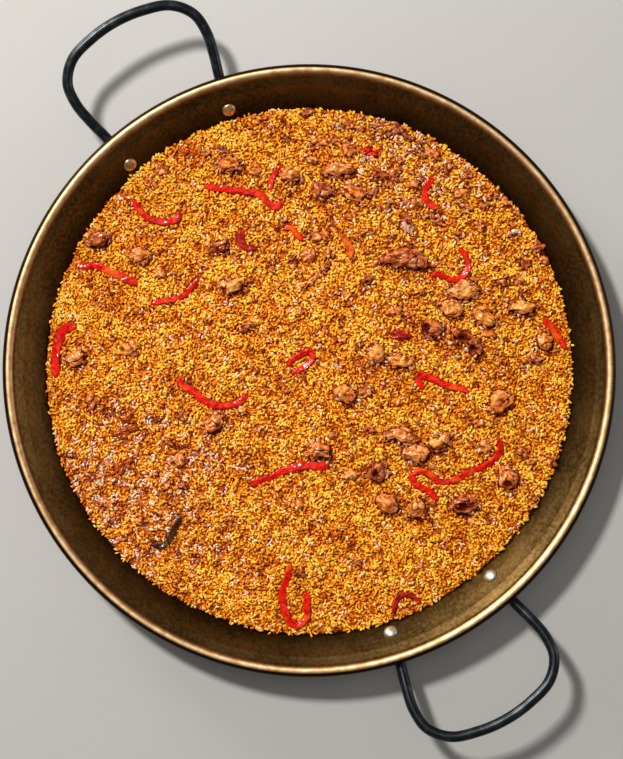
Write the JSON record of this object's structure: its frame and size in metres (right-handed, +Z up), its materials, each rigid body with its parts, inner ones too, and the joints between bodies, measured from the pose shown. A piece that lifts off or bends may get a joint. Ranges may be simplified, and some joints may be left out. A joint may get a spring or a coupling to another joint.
{
  "type": "pan of chicken rice",
  "caption": "Wide shallow two-handled steel pan holding a level bed of saffron rice with browned chicken pieces and strips of red pepper.",
  "frame": {"origin": "centre of the pan's flat underside", "axes": "+Z up out of the pan, +X towards one handle and -X towards the other"},
  "size_m": [1.046, 0.7988, 0.082],
  "materials": {
    "pan_steel": "steel with a bronze-brown patina and a bright worn rim",
    "handle_steel": "smooth black-blue steel, satin",
    "rivet_steel": "pale worn steel",
    "rice": "moist yellow rice",
    "chicken": "browned chicken, moist",
    "pepper": "roasted red pepper, wet and glossy"
  },
  "bodies": {
    "root": {"pan": "pan_steel", "handle_plus_x": "handle_steel", "handle_minus_x": "handle_steel", "rivet_1": "rivet_steel", "rivet_2": "rivet_steel", "rivet_3": "rivet_steel", "rivet_4": "rivet_steel", "rice": "rice", "pepper_hook_nw": "pepper", "pepper_west": "pepper", "pepper_bar_north": "pepper", "pepper_curl_north": "pepper", "pepper_plum": "pepper", "pepper_centre_north": "pepper", "pepper_orange": "pepper", "pepper_east_arc": "pepper", "pepper_east_hook": "pepper", "pepper_west_edge": "pepper", "pepper_south_west": "pepper", "pepper_smile": "pepper", "pepper_leaf": "pepper", "pepper_mid": "pepper", "pepper_u_south": "pepper", "pepper_dark_south": "pepper", "pepper_long": "pepper", "pepper_fold_east": "pepper", "pepper_east_edge": "pepper", "pepper_skin_curl": "pepper", "chicken_thigh_pale": "chicken", "chicken_thigh_tan": "chicken", "chicken_skin_tan": "chicken", "chicken_wing": "chicken", "chicken_east": "chicken", "chicken_dark_east": "chicken", "chicken_rib_tan": "chicken", "chicken_round_tan": "chicken", "chicken_east_edge": "chicken", "chicken_chunk_east": "chicken", "chicken_liver_centre": "chicken", "chicken_thigh_red": "chicken", "chicken_strip_tan": "chicken", "chicken_chunk_se": "chicken", "chicken_split_se": "chicken", "chicken_ball_south": "chicken", "chicken_thigh_south": "chicken", "chicken_smile_south": "chicken", "chicken_mid_south": "chicken", "chicken_dark_mid": "chicken", "chicken_lobe_mid": "chicken", "chicken_west_edge": "chicken", "chicken_tan_north_west": "chicken", "chicken_dark_west": "chicken", "chicken_shred_west": "chicken", "chicken_dark_north_west": "chicken", "chicken_north_west": "chicken", "chicken_thigh_north": "chicken", "chicken_dark_north": "chicken", "chicken_long_north": "chicken", "chicken_north": "chicken", "chicken_back_north": "chicken"}
  },
  "joints": []
}
